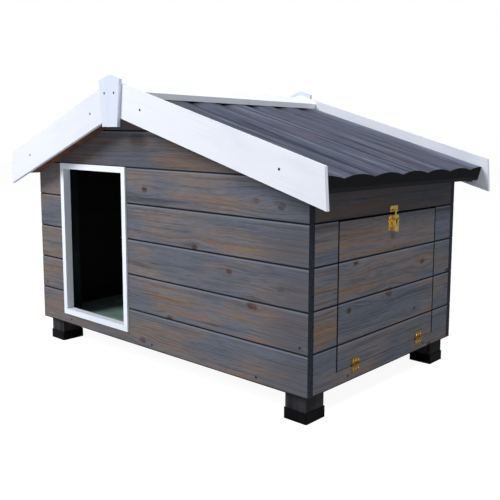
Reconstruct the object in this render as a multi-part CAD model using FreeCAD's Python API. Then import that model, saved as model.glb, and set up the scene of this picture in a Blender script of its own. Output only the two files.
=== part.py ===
# Wooden dog house: a boarded cabin on four capped legs under an uneven gabled
# roof, with a framed doorway in front and a drop-down cleaning hatch on the right.
# Millimetres. X runs along the front wall, Y from the front to the back, Z up.
# Everything is drawn from the middle of the walls, on the ground; at the end it all
# moves along X and Y, so that the origin lies under the middle of the whole.

import FreeCAD, Part
import math
import os

V = FreeCAD.Vector

# ---------------------------------------------------------------- wall boards
WALL_WIDTH = 1065.0        # outside faces, along X
WALL_DEPTH = 642.0         # outside faces, along Y
GROUND_GAP = 67.5          # ground to the lowest board
COURSE = 96.0              # height that one board covers
BOARD_THICK = 16.5
SIDE_COURSES = 5           # courses in the left and right walls
GABLE_COURSES = 7          # courses in the front and back walls
JOINT_BEVEL = 2.2          # half of the V-shaped joint between two boards
TONGUE_HIGH = 6.0
TONGUE_THICK = 5.0
TONGUE_FIT = 0.25          # gap around each tongue
RELIEF_WIDE = 5.0          # two relief grooves along the back of each board
RELIEF_DEEP = 2.0
RELIEF_HEIGHTS = (0.35, 0.65)

# ------------------------------------------------------------- floor and legs
FLOOR_LOW = 72.0
FLOOR_THICK = 18.0
FLOOR_BOARDS = 5
LEG = 62.0                 # square corner posts that run down as legs
CAP_WALL = 3.0
CAP_HEIGHT = 25.0
CAP_BASE = 4.0
CAP_FIT = 0.1
CAP_CORNER = 4.0

# -------------------------------------------------------------------- doorway
DOOR_INSET = 120.5         # left corner to the outer left side of the frame
DOOR_WIDTH = 310.0         # outside of the frame
DOOR_LOW = 97.5            # underside of the sill
DOOR_TOP_COURSE = 5        # the frame ends level with this course's top
FRAME_FACE = 16.0
FRAME_PROUD = 5.0          # how far the frame stands out of the wall

# ----------------------------------------------------------------------- roof
RIDGE_X = -73.0
SLOPE_RIGHT = 15.46        # degrees
SLOPE_LEFT = 21.0
VERGE_FRONT = 58.0         # wall face to the outer face of a barge board
VERGE_BACK = 38.0
BARGE_END_RIGHT = 90.0     # wall face to the tip of the right barge boards
BARGE_END_LEFT = 58.0
BARGE_WIDE = 84.0
BARGE_THICK = 9.5
BARGE_END_LEAN = 6.8       # the end cut leans inwards by this much at its top
EAVE_SETBACK = 23.5        # the roof boards end this far inside the barge tips
CREST_DROP = 25.5          # barge board top edge down to the crest of the boards
ROOF_BOARD_WIDE = 114.8
ROOF_BOARD_THICK = 28.0    # at the crest
ROOF_CROWN = 8.0           # crest above the valley
BATTEN_THICK = 20.0
FASCIA_THICK = 14.0
FASCIA_HIGH = 10.0
RIDGE_CAP_WIDE = 80.0
RIDGE_CAP_THICK = 16.0
RIDGE_CAP_SEAT = 0.2
RIDGE_BEAM_WIDE = 44.0
RIDGE_BEAM_HIGH = 58.0
FINIAL_TOP_WIDE = 86.0
FINIAL_BOTTOM_WIDE = 63.0
FINIAL_HANG = 118.0        # below the top of the ridge
FINIAL_POINT = 12.0        # above it
FINIAL_THICK = 9.0

# ---------------------------------------------------------------------- hatch
HATCH_OPENING = 434.5      # along Y, between the fixed boards
HATCH_SIDE_GAP = 2.5
HATCH_CUT_Z = 102.0        # middle of the saw cut under the hatch
HATCH_CUT_GAP = 1.5
HATCH_TOP_COURSE = 4       # the opening ends level with this course's top
HATCH_TOP_GAP = 4.0
HATCH_SEAT_GAP = 0.3       # hatch boards to the stops behind them
STOP_LAP = 8.0             # how far a stop reaches behind the hatch
STOP_THICK = 30.0
STOP_ABOVE = 48.0          # stop carries on above the opening
HATCH_BATTEN_WIDE = 40.0
HATCH_BATTEN_THICK = 18.0
HATCH_BATTEN_Y = 150.0
HATCH_BATTEN_END = 8.0     # batten ends to the hatch edges, top
HATCH_BATTEN_LIFT = 28.0   # batten foot above the floor

# --------------------------------------------------------------------- hinges
HINGE_Y = (-143.0, 145.0)
HINGE_LENGTH = 34.0
LEAF_WIDE = 17.0           # pin axis to the leaf's edge
LEAF_THICK = 1.2
KNUCKLES = 5
KNUCKLE_RADIUS = 2.5
KNUCKLE_GAP = 0.3
KNUCKLE_CLEAR = 0.5        # leaf plate to the knuckles of the other leaf
HINGE_PIN_RADIUS = 1.2
RUN_FIT = 0.08             # radial clearance of every turning pin

# ---------------------------------------------------------------------- latch
LATCH_Y = 7.0
LATCH_PLATE_WIDE = 46.0
LATCH_PLATE_HIGH = 37.0
LATCH_PLATE_MARGIN = 2.0   # plate's top edge below the hatch's top edge
PLATE_THICK = 1.2
PLATE_CORNER = 2.5
PIVOT_DROP = 14.5          # lever pivot below the hatch's top edge
PIVOT_OUT = 6.0            # pivot axis in front of the hatch's face
RIVET_RADIUS = 1.5
RIVET_FIT = 0.03
RIVET_HEAD_RADIUS = 2.4
RIVET_HEAD_THICK = 0.8
RIVET_HEAD_GAP = 0.1
EAR_THICK = 1.2
EAR_RADIUS = 4.5
EAR_GAP = 0.2              # ear to the lever's side
LEVER_HALF_WIDE = 9.0
LEVER_SHEET = 1.0
LEVER_LENGTH = 24.0        # pivot to the end of the flat
LEVER_NOSE = 3.6           # radius of the lever's nose around its pivot
LEVER_WEB_OUT = 2.6        # pivot axis to the inside of the lever's face
LEVER_WEB_START = -1.5
LEVER_FLANGE_IN = 2.4
LEVER_SLOT_END = 17.5
LEVER_TAB = 3.5
LEVER_TAB_RISE = 2.0
LINK_OFFSET = 8.0          # lever pivot to the link's pivot
LINK_WIDE = 7.0
LINK_THICK = 1.5
LINK_BAR_RADIUS = 1.2
LINK_EYE_RADIUS = 2.2
LINK_BAR_HALF = 8.0
LINK_SEAT_GAP = 0.3        # link's bar to the prongs that hold it
SLOT_GAP = 0.7             # link to the sides of the slots that it runs in
CATCH_WIDE = 35.0
CATCH_HIGH = 15.0
CATCH_MARGIN = 3.0         # catch plate above the lower edge of its board
PRONG_WIDE = 5.0
PRONG_THICK = 1.5
PRONG_INSET = 1.5          # prong above the catch plate's lower edge
PRONG_REACH = 9.0

# ------------------------------------------------------- places that follow
HALF_W = WALL_WIDTH / 2
HALF_D = WALL_DEPTH / 2
INNER_X = HALF_W - BOARD_THICK
INNER_Y = HALF_D - BOARD_THICK
BARGE_FACES = {-1: -HALF_D - VERGE_FRONT, 1: HALF_D + VERGE_BACK}
ROOF_ENDS = {end: face - end * BARGE_THICK for end, face in BARGE_FACES.items()}
DOOR_LEFT = -HALF_W + DOOR_INSET
DOOR_RIGHT = DOOR_LEFT + DOOR_WIDTH
FLOOR_TOP = FLOOR_LOW + FLOOR_THICK
FAR = 3 * WALL_WIDTH
ROOF_UNDERSIDE = -CREST_DROP - ROOF_BOARD_THICK
MIDDLE_SHIFT = V((BARGE_END_LEFT - BARGE_END_RIGHT) / 2, (VERGE_FRONT - VERGE_BACK) / 2, 0)
SLOPES = {1: math.radians(SLOPE_RIGHT), -1: math.radians(SLOPE_LEFT)}


def level(course):
    """Height of the joint on top of the given number of courses."""
    return GROUND_GAP + course * COURSE


# The roof boards bear on the outer top edge of the right wall. RIDGE_TOP is where the
# top edges of two barge boards meet.
RIDGE_TOP = (level(SIDE_COURSES) + (HALF_W - RIDGE_X) * math.tan(SLOPES[1])
             - ROOF_UNDERSIDE / math.cos(SLOPES[1]))
DOOR_TOP = level(DOOR_TOP_COURSE)
HATCH_LOW = HATCH_CUT_Z + HATCH_CUT_GAP / 2
HATCH_TOP = level(HATCH_TOP_COURSE) - HATCH_TOP_GAP
HATCH_HALF = HATCH_OPENING / 2 - HATCH_SIDE_GAP
PIN_X = HALF_W + KNUCKLE_RADIUS
PIVOT_X = HALF_W + PIVOT_OUT
PIVOT_Z = HATCH_TOP - PIVOT_DROP
LINK_Z = PIVOT_Z - LINK_OFFSET
CATCH_LOW = level(HATCH_TOP_COURSE) + CATCH_MARGIN
PRONG_TOP = CATCH_LOW + PRONG_INSET + PRONG_THICK
LINK_BAR_Z = PRONG_TOP + LINK_SEAT_GAP + LINK_BAR_RADIUS


# ------------------------------------------------------------- basic solids
def box(x0, x1, y0, y1, z0, z1):
    """Box between two values on each axis, given in either order."""
    size = (abs(x1 - x0), abs(y1 - y0), abs(z1 - z0))
    return Part.makeBox(*size, V(min(x0, x1), min(y0, y1), min(z0, z1)))


def prism(points, along):
    """Closed outline of points pushed along a vector."""
    return Part.Face(Part.makePolygon(points + points[:1])).extrude(along)


def plate_xz(outline, y0, y1):
    """Outline of (x, z) pairs with its thickness along Y."""
    points = [V(x, y0, z) for x, z in outline]
    return prism(points, V(0, y1 - y0, 0))


def rod_y(x, z, radius, y0, y1):
    """Round bar along Y."""
    return Part.makeCylinder(radius, y1 - y0, V(x, y0, z), V(0, 1, 0))


def joined(shapes):
    """One solid from several that touch."""
    first = shapes[0]
    return first.fuse(shapes[1:]).removeSplitter()


# -------------------------------------------------------------------- boards
def board_outline(course, tongue, groove):
    """Section of one wall board as (depth from its face, height) pairs."""
    low = level(course)
    high = level(course + 1)
    middle = BOARD_THICK / 2
    half = TONGUE_THICK / 2
    points = []
    if groove:
        slot = half + TONGUE_FIT
        roof = low + TONGUE_HIGH + TONGUE_FIT
        points += [(middle + slot, low), (middle + slot, roof)]
        points += [(middle - slot, roof), (middle - slot, low)]
        points += [(JOINT_BEVEL, low), (0, low + JOINT_BEVEL)]
    else:
        points += [(0, low)]
    if tongue:
        tip = high + TONGUE_HIGH
        points += [(0, high - JOINT_BEVEL), (JOINT_BEVEL, high)]
        points += [(middle - half, high), (middle - half, tip)]
        points += [(middle + half, tip), (middle + half, high)]
    else:
        points += [(0, high)]
    points += [(BOARD_THICK, high)]
    for share in reversed(RELIEF_HEIGHTS):
        upper = low + share * COURSE + RELIEF_WIDE / 2
        lower = upper - RELIEF_WIDE
        points += [(BOARD_THICK, upper), (BOARD_THICK - RELIEF_DEEP, upper)]
        points += [(BOARD_THICK - RELIEF_DEEP, lower), (BOARD_THICK, lower)]
    points += [(BOARD_THICK, low)]
    return points


def board_x(course, facing, x0, x1, tongue=True, groove=True):
    """Board along X; facing is -1 on the front wall and 1 on the back wall."""
    outline = board_outline(course, tongue, groove and course > 0)
    points = [V(x0, facing * (HALF_D - depth), z) for depth, z in outline]
    return prism(points, V(x1 - x0, 0, 0))


def board_y(course, facing, y0, y1, tongue=True):
    """Board along Y; facing is -1 on the left wall and 1 on the right wall."""
    outline = board_outline(course, tongue, course > 0)
    points = [V(facing * (HALF_W - depth), y0, z) for depth, z in outline]
    return prism(points, V(0, y1 - y0, 0))


# ---------------------------------------------------------------- roof places
def slope_z(side, x, out):
    """Height on a slope at x; out is square to the slope, 0 on the barge tops."""
    angle = SLOPES[side]
    return RIDGE_TOP + out / math.cos(angle) - abs(x - RIDGE_X) * math.tan(angle)


def slope_point(side, along, out):
    """(x, z) at a distance down the slope from the ridge and square to it."""
    angle = SLOPES[side]
    x = RIDGE_X + side * (along * math.cos(angle) + out * math.sin(angle))
    return x, RIDGE_TOP - along * math.sin(angle) + out * math.cos(angle)


def mitre(side, out):
    """Distance down the slope at which the upright plane of the ridge is met."""
    return -out * math.tan(SLOPES[side])


def barge_tip(side):
    reach = BARGE_END_RIGHT if side > 0 else BARGE_END_LEFT
    return side * (HALF_W + reach)


def slope_length(side):
    """Distance down the slope at which the roof boards end."""
    angle = SLOPES[side]
    run = abs(barge_tip(side) - side * EAVE_SETBACK - RIDGE_X)
    return (run + CREST_DROP * math.sin(angle)) / math.cos(angle)


def slope_slab(side, low, high, start, end, y0, y1):
    """Slab on a slope; start None gives the mitre at the ridge."""
    begin = [mitre(side, out) if start is None else start for out in (low, high)]
    outline = [slope_point(side, begin[0], low), slope_point(side, end, low)]
    outline += [slope_point(side, end, high), slope_point(side, begin[1], high)]
    return plate_xz(outline, y0, y1)


def roof_space():
    """All the space above the underside of the roof boards."""
    outline = [(-FAR, slope_z(-1, -FAR, ROOF_UNDERSIDE))]
    outline += [(RIDGE_X, slope_z(-1, RIDGE_X, ROOF_UNDERSIDE))]
    outline += [(RIDGE_X, slope_z(1, RIDGE_X, ROOF_UNDERSIDE))]
    outline += [(FAR, slope_z(1, FAR, ROOF_UNDERSIDE)), (FAR, FAR), (-FAR, FAR)]
    return plate_xz(outline, -FAR, FAR)


# ------------------------------------------------------------- floor and legs
def leg_block(side, end, low, high):
    """Square post in one corner of the cabin."""
    return box(side * INNER_X, side * (INNER_X - LEG), end * INNER_Y,
               end * (INNER_Y - LEG), low, high)


def floor_boards():
    pitch = 2 * INNER_Y / FLOOR_BOARDS
    boards = []
    for index in range(FLOOR_BOARDS):
        y0 = -INNER_Y + index * pitch
        board = box(-INNER_X, INNER_X, y0, y0 + pitch, FLOOR_LOW, FLOOR_TOP)
        for side in (-1, 1):
            for end in (-1, 1):
                board = board.cut(leg_block(side, end, 0, FAR))
        boards.append(board)
    return boards


def leg(side, end):
    return [leg_block(side, end, CAP_BASE, RIDGE_TOP).cut(roof_space())]


def foot_cap(side, end):
    inner = leg_block(side, end, CAP_BASE, CAP_HEIGHT + CAP_BASE)
    bounds = inner.BoundBox
    grow = CAP_FIT + CAP_WALL
    outer = box(bounds.XMin - grow, bounds.XMax + grow, bounds.YMin - grow,
                bounds.YMax + grow, 0, CAP_HEIGHT)
    upright = [edge for edge in outer.Edges if abs(edge.tangentAt(0).z) > 0.9]
    outer = outer.makeFillet(CAP_CORNER, upright)
    socket = box(bounds.XMin - CAP_FIT, bounds.XMax + CAP_FIT, bounds.YMin - CAP_FIT,
                 bounds.YMax + CAP_FIT, CAP_BASE, CAP_HEIGHT)
    return [outer.cut(socket)]


# ---------------------------------------------------------------------- walls
def front_boards(x0, x1):
    """Boards beside the doorway; the highest one is cut to the slope of the roof."""
    last = DOOR_TOP_COURSE - 1
    boards = [board_x(course, -1, x0, x1, tongue=course < last)
              for course in range(1, DOOR_TOP_COURSE)]
    return boards[:-1] + [boards[-1].cut(roof_space())]


def front_board_bottom():
    board = board_x(0, -1, -HALF_W, HALF_W)
    notch = box(DOOR_LEFT, DOOR_RIGHT, -HALF_D, -INNER_Y, DOOR_LOW, DOOR_TOP)
    return [board.cut(notch)]


def gable_board(course, facing):
    """Full-width board, cut to the two slopes of the roof where it meets them."""
    groove = 0 < course and (facing > 0 or course > DOOR_TOP_COURSE)
    tongue = course < GABLE_COURSES - 1
    board = board_x(course, facing, -HALF_W, HALF_W, tongue, groove)
    return board.cut(roof_space())


def back_wall_boards():
    return [gable_board(course, 1) for course in range(GABLE_COURSES)]


def side_top_board(facing):
    """Top board of a side wall, bevelled where it meets the roof."""
    board = board_y(SIDE_COURSES - 1, facing, -INNER_Y, INNER_Y, tongue=False)
    return board.cut(roof_space())


def left_wall_boards():
    boards = [board_y(course, -1, -INNER_Y, INNER_Y) for course in range(SIDE_COURSES - 1)]
    return boards + [side_top_board(-1)]


def right_board_bottom():
    board = board_y(0, 1, -INNER_Y, INNER_Y)
    half = HATCH_OPENING / 2
    notch = box(INNER_X, HALF_W, -half, half, HATCH_CUT_Z - HATCH_CUT_GAP / 2, FAR)
    return [board.cut(notch)]


def right_boards(end):
    """Short boards beside the hatch opening."""
    ends = sorted((end * HATCH_OPENING / 2, end * INNER_Y))
    return [board_y(course, 1, *ends) for course in range(1, HATCH_TOP_COURSE)]


# -------------------------------------------------------------------- doorway
def door_frame(member):
    front = -HALF_D - FRAME_PROUD
    left = (DOOR_LEFT, DOOR_LEFT + FRAME_FACE)
    right = (DOOR_RIGHT - FRAME_FACE, DOOR_RIGHT)
    between = (DOOR_LOW + FRAME_FACE, DOOR_TOP - FRAME_FACE)
    spans = {
        "left": (left, between),
        "right": (right, between),
        "sill": ((DOOR_LEFT, DOOR_RIGHT), (DOOR_LOW, between[0])),
        "top": ((DOOR_LEFT, DOOR_RIGHT), (between[1], DOOR_TOP)),
    }
    (x0, x1), (z0, z1) = spans[member]
    return [box(x0, x1, front, -INNER_Y, z0, z1)]


# ----------------------------------------------------------------------- roof
def crown_section(side, y0, y1, along):
    """Section of one roof board: flat below and beside, rounded on top."""
    def place(y, out):
        x, z = slope_point(side, along, out)
        return V(x, y, z)

    valley = -CREST_DROP - ROOF_CROWN
    corners = [place(y1, valley), place(y1, ROOF_UNDERSIDE)]
    corners += [place(y0, ROOF_UNDERSIDE), place(y0, valley)]
    crown = Part.Arc(place(y0, valley), place((y0 + y1) / 2, -CREST_DROP), place(y1, valley))
    edges = Part.makePolygon(corners).Edges + [crown.toShape()]
    return Part.Face(Part.Wire(edges))


def roof_boards(side):
    """Boards that run down one slope, mitred at the ridge."""
    angle = SLOPES[side]
    start = -ROOF_BOARD_WIDE
    length = slope_length(side) - start
    down = V(side * math.cos(angle), 0, -math.sin(angle)) * length
    far_side = box(RIDGE_X, RIDGE_X - side * FAR, -FAR, FAR, -FAR, FAR)
    between_barges = box(-FAR, FAR, ROOF_ENDS[-1], ROOF_ENDS[1], -FAR, FAR)
    first = math.floor(ROOF_ENDS[-1] / ROOF_BOARD_WIDE + 0.5)
    last = math.ceil(ROOF_ENDS[1] / ROOF_BOARD_WIDE - 0.5)
    boards = []
    for index in range(first, last + 1):
        y0 = (index - 0.5) * ROOF_BOARD_WIDE
        y1 = y0 + ROOF_BOARD_WIDE
        board = crown_section(side, y0, y1, start).extrude(down).cut(far_side)
        if index in (first, last):
            board = board.common(between_barges)
        boards.append(board)
    return boards


def verge_batten(side, end):
    """Batten under the roof boards, between a gable wall and its barge board."""
    low = ROOF_UNDERSIDE - BATTEN_THICK
    ends = sorted((end * HALF_D, ROOF_ENDS[end]))
    length = slope_length(side) - FASCIA_THICK
    return [slope_slab(side, low, ROOF_UNDERSIDE, None, length, *ends)]


def fascia(side):
    """Strip under the lower ends of the roof boards."""
    low = ROOF_UNDERSIDE - FASCIA_HIGH
    length = slope_length(side)
    return [slope_slab(side, low, ROOF_UNDERSIDE, length - FASCIA_THICK, length,
                       ROOF_ENDS[-1], ROOF_ENDS[1])]


def ridge_beam():
    top = slope_z(1, RIDGE_X, ROOF_UNDERSIDE)
    beam = box(RIDGE_X - RIDGE_BEAM_WIDE / 2, RIDGE_X + RIDGE_BEAM_WIDE / 2,
               -INNER_Y, INNER_Y, top - RIDGE_BEAM_HIGH, top)
    return [beam.cut(roof_space())]


def ridge_cap(side):
    low = RIDGE_CAP_SEAT - CREST_DROP
    return [slope_slab(side, low, low + RIDGE_CAP_THICK, None, RIDGE_CAP_WIDE,
                       ROOF_ENDS[-1], ROOF_ENDS[1])]


def barge_board(side, end):
    tip = barge_tip(side)
    top = tip - side * BARGE_END_LEAN
    outline = [(RIDGE_X, slope_z(side, RIDGE_X, 0)), (top, slope_z(side, top, 0))]
    outline += [(tip, slope_z(side, tip, -BARGE_WIDE))]
    outline += [(RIDGE_X, slope_z(side, RIDGE_X, -BARGE_WIDE))]
    return [plate_xz(outline, *sorted((ROOF_ENDS[end], BARGE_FACES[end])))]


def finial(end):
    half_top = FINIAL_TOP_WIDE / 2
    half_low = FINIAL_BOTTOM_WIDE / 2
    low = RIDGE_TOP - FINIAL_HANG
    outline = [(RIDGE_X - half_low, low), (RIDGE_X + half_low, low)]
    outline += [(RIDGE_X + half_top, RIDGE_TOP), (RIDGE_X, RIDGE_TOP + FINIAL_POINT)]
    outline += [(RIDGE_X - half_top, RIDGE_TOP)]
    back = BARGE_FACES[end]
    return [plate_xz(outline, *sorted((back, back + end * FINIAL_THICK)))]


# ---------------------------------------------------------------------- hatch
def hatch_boards():
    """The wall's own boards, sawn out; the lowest one is ripped to carry the hinges."""
    sawn = box(INNER_X + HATCH_SEAT_GAP, HALF_W, -HATCH_HALF, HATCH_HALF, HATCH_LOW, HATCH_TOP)
    return [board_y(course, 1, -HATCH_HALF, HATCH_HALF).common(sawn)
            for course in range(HATCH_TOP_COURSE)]


def hatch_batten(end):
    centre = end * HATCH_BATTEN_Y
    outer = INNER_X + HATCH_SEAT_GAP
    return [box(outer - HATCH_BATTEN_THICK, outer, centre - HATCH_BATTEN_WIDE / 2,
                centre + HATCH_BATTEN_WIDE / 2, FLOOR_TOP + HATCH_BATTEN_LIFT,
                HATCH_TOP - HATCH_BATTEN_END)]


def hatch_stop(end):
    """Batten behind the edge of the opening, which the hatch closes against."""
    inner = HATCH_HALF - STOP_LAP
    return [box(INNER_X, INNER_X - STOP_THICK, end * inner, end * (INNER_Y - LEG),
                FLOOR_TOP, level(HATCH_TOP_COURSE) + STOP_ABOVE)]


# --------------------------------------------------------------------- hinges
def hinge_leaf(y_centre, up):
    """Leaf with its knuckles; up is 1 for the hatch's leaf and -1 for the fixed one."""
    y0 = y_centre - HINGE_LENGTH / 2
    near = HATCH_CUT_Z + up * (KNUCKLE_RADIUS + KNUCKLE_CLEAR)
    far = HATCH_CUT_Z + up * LEAF_WIDE
    front = HALF_W + LEAF_THICK
    pieces = [box(HALF_W, front, y0, y0 + HINGE_LENGTH, near, far)]
    knuckle = (HINGE_LENGTH - (KNUCKLES - 1) * KNUCKLE_GAP) / KNUCKLES
    first = 1 if up > 0 else 0
    for index in range(first, KNUCKLES, 2):
        start = y0 + index * (knuckle + KNUCKLE_GAP)
        pieces.append(box(HALF_W, front, start, start + knuckle, HATCH_CUT_Z, near))
        pieces.append(rod_y(PIN_X, HATCH_CUT_Z, KNUCKLE_RADIUS, start, start + knuckle))
    leaf = joined(pieces)
    bore = rod_y(PIN_X, HATCH_CUT_Z, HINGE_PIN_RADIUS + RUN_FIT, y0, y0 + HINGE_LENGTH)
    return [leaf.cut(bore)]


def hinge_pin(y_centre):
    half = HINGE_LENGTH / 2
    return [rod_y(PIN_X, HATCH_CUT_Z, HINGE_PIN_RADIUS, y_centre - half, y_centre + half)]


# ---------------------------------------------------------------------- latch
def rounded_plate(wide, low, high):
    """Thin brass plate on the outer face, with rounded corners."""
    plate = box(HALF_W, HALF_W + PLATE_THICK, LATCH_Y - wide / 2, LATCH_Y + wide / 2, low, high)
    corners = [edge for edge in plate.Edges if abs(edge.tangentAt(0).x) > 0.9]
    return plate.makeFillet(PLATE_CORNER, corners)


def latch_base():
    """Plate on the hatch with the two ears that carry the lever."""
    high = HATCH_TOP - LATCH_PLATE_MARGIN
    pieces = [rounded_plate(LATCH_PLATE_WIDE, high - LATCH_PLATE_HIGH, high)]
    inner = LEVER_HALF_WIDE + EAR_GAP
    for side in (-1, 1):
        ends = sorted((LATCH_Y + side * inner, LATCH_Y + side * (inner + EAR_THICK)))
        pieces.append(rod_y(PIVOT_X, PIVOT_Z, EAR_RADIUS, *ends))
        pieces.append(box(HALF_W, PIVOT_X, *ends, PIVOT_Z - EAR_RADIUS, PIVOT_Z + EAR_RADIUS))
    outer = inner + EAR_THICK
    bore = rod_y(PIVOT_X, PIVOT_Z, RIVET_RADIUS + RIVET_FIT, LATCH_Y - outer, LATCH_Y + outer)
    return [joined(pieces).cut(bore)]


def latch_rivets():
    """Two short rivets, which leave the middle free for the link."""
    flange = LEVER_HALF_WIDE - LEVER_SHEET - RIVET_HEAD_GAP
    ear = LEVER_HALF_WIDE + EAR_GAP + EAR_THICK
    rivets = []
    for side in (-1, 1):
        spans = [(RIVET_HEAD_RADIUS, flange - RIVET_HEAD_THICK, flange)]
        spans += [(RIVET_RADIUS, flange, ear)]
        spans += [(RIVET_HEAD_RADIUS, ear, ear + RIVET_HEAD_THICK)]
        shapes = []
        for radius, inner, outer in spans:
            ends = sorted((LATCH_Y + side * inner, LATCH_Y + side * outer))
            shapes.append(rod_y(PIVOT_X, PIVOT_Z, radius, *ends))
        rivets.append(joined(shapes))
    return rivets


def lever_outline(pairs):
    """(down the lever, out of the face) pairs, with the lever closed."""
    return [(PIVOT_X + out, PIVOT_Z - down) for down, out in pairs]


def latch_lever():
    """Folded sheet lever: two sides, a slotted face and a finger tab."""
    face = LEVER_WEB_OUT + LEVER_SHEET
    flange = [(0, -LEVER_FLANGE_IN), (LINK_OFFSET + LINK_EYE_RADIUS, -LEVER_FLANGE_IN)]
    flange += [(LEVER_LENGTH, LEVER_WEB_OUT - LEVER_SHEET), (LEVER_LENGTH, face), (0, face)]
    pieces = []
    for side in (-1, 1):
        outer = LATCH_Y + side * LEVER_HALF_WIDE
        ends = sorted((outer, outer - side * LEVER_SHEET))
        nose = rod_y(PIVOT_X, PIVOT_Z, LEVER_NOSE, *ends)
        pieces.append(nose.fuse(plate_xz(lever_outline(flange), *ends)))
    y0 = LATCH_Y - LEVER_HALF_WIDE
    y1 = LATCH_Y + LEVER_HALF_WIDE
    web = [(LEVER_WEB_START, LEVER_WEB_OUT), (LEVER_LENGTH, LEVER_WEB_OUT)]
    web += [(LEVER_LENGTH + LEVER_TAB, LEVER_WEB_OUT + LEVER_TAB_RISE)]
    web += [(LEVER_LENGTH + LEVER_TAB, face + LEVER_TAB_RISE)]
    web += [(LEVER_LENGTH, face), (LEVER_WEB_START, face)]
    slot_half = LINK_WIDE / 2 + SLOT_GAP
    slot = box(PIVOT_X, PIVOT_X + face + LEVER_SHEET, LATCH_Y - slot_half,
               LATCH_Y + slot_half, PIVOT_Z - LEVER_SLOT_END, PIVOT_Z + LEVER_NOSE)
    pieces.append(plate_xz(lever_outline(web), y0, y1).cut(slot))
    lever = joined(pieces)
    lever = lever.cut(rod_y(PIVOT_X, PIVOT_Z, RIVET_RADIUS + RUN_FIT, y0, y1))
    return [lever.cut(rod_y(PIVOT_X, LINK_Z, LINK_BAR_RADIUS + RUN_FIT, y0, y1))]


def latch_link():
    """Flat link with a bar across each end."""
    half = LINK_WIDE / 2
    strip = box(PIVOT_X - LINK_THICK / 2, PIVOT_X + LINK_THICK / 2, LATCH_Y - half,
                LATCH_Y + half, LINK_Z, LINK_BAR_Z)
    eye = rod_y(PIVOT_X, LINK_Z, LINK_EYE_RADIUS, LATCH_Y - half, LATCH_Y + half)
    hinge_bar = rod_y(PIVOT_X, LINK_Z, LINK_BAR_RADIUS, LATCH_Y - LEVER_HALF_WIDE,
                      LATCH_Y + LEVER_HALF_WIDE)
    hook_bar = rod_y(PIVOT_X, LINK_BAR_Z, LINK_BAR_RADIUS, LATCH_Y - LINK_BAR_HALF,
                     LATCH_Y + LINK_BAR_HALF)
    return [joined([strip, eye, hinge_bar, hook_bar])]


def latch_catch():
    """Plate above the hatch with the two prongs that hold the link's bar."""
    pieces = [rounded_plate(CATCH_WIDE, CATCH_LOW, CATCH_LOW + CATCH_HIGH)]
    inner = LINK_WIDE / 2 + SLOT_GAP
    for side in (-1, 1):
        ends = sorted((LATCH_Y + side * inner, LATCH_Y + side * (inner + PRONG_WIDE)))
        pieces.append(box(HALF_W, HALF_W + PRONG_REACH, *ends, PRONG_TOP - PRONG_THICK, PRONG_TOP))
    return [joined(pieces)]


# ------------------------------------------------------------------- assembly
ENDS = {"front": -1, "back": 1}
SIDES = {"left": -1, "right": 1}


def build():
    parts = {
        "floor_boards": floor_boards(),
        "front_board_bottom": front_board_bottom(),
        "front_boards_left": front_boards(-HALF_W, DOOR_LEFT),
        "front_boards_right": front_boards(DOOR_RIGHT, HALF_W),
        "front_gable_lower": [gable_board(DOOR_TOP_COURSE, -1)],
        "front_gable_upper": [gable_board(DOOR_TOP_COURSE + 1, -1)],
        "back_wall_boards": back_wall_boards(),
        "left_wall_boards": left_wall_boards(),
        "right_board_bottom": right_board_bottom(),
        "right_board_top": [side_top_board(1)],
        "ridge_beam": ridge_beam(),
        "hatch_boards": hatch_boards(),
        "latch_base": latch_base(),
        "latch_rivets": latch_rivets(),
        "latch_lever": latch_lever(),
        "latch_link": latch_link(),
        "latch_catch": latch_catch(),
    }
    for member in ("left", "right", "top", "sill"):
        parts["door_frame_" + member] = door_frame(member)
    for side_name, side in SIDES.items():
        parts["roof_boards_" + side_name] = roof_boards(side)
        parts["ridge_cap_" + side_name] = ridge_cap(side)
        parts["eave_fascia_" + side_name] = fascia(side)
    for index, (end_name, end) in enumerate(ENDS.items()):
        parts["finial_" + end_name] = finial(end)
        parts["right_boards_" + end_name] = right_boards(end)
        parts["hatch_stop_" + end_name] = hatch_stop(end)
        parts["hatch_batten_" + end_name] = hatch_batten(end)
        parts["hinge_fixed_leaf_" + end_name] = hinge_leaf(HINGE_Y[index], -1)
        parts["hinge_hatch_leaf_" + end_name] = hinge_leaf(HINGE_Y[index], 1)
        parts["hinge_pin_" + end_name] = hinge_pin(HINGE_Y[index])
        for side_name, side in SIDES.items():
            corner = end_name + "_" + side_name
            parts["leg_" + corner] = leg(side, end)
            parts["foot_cap_" + corner] = foot_cap(side, end)
            parts["barge_board_" + corner] = barge_board(side, end)
            parts["verge_batten_" + corner] = verge_batten(side, end)
    return parts


def main():
    os.makedirs("parts", exist_ok=True)
    for name, solids in build().items():
        shape = solids[0] if len(solids) == 1 else Part.makeCompound(solids)
        shape.translate(MIDDLE_SHIFT)
        shape.exportStep("parts/" + name + ".step")
        print(name, len(solids), "solids", "valid" if shape.isValid() else "NOT VALID")


main()
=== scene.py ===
import math

import bmesh
import bpy
from mathutils import Matrix, Vector


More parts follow.
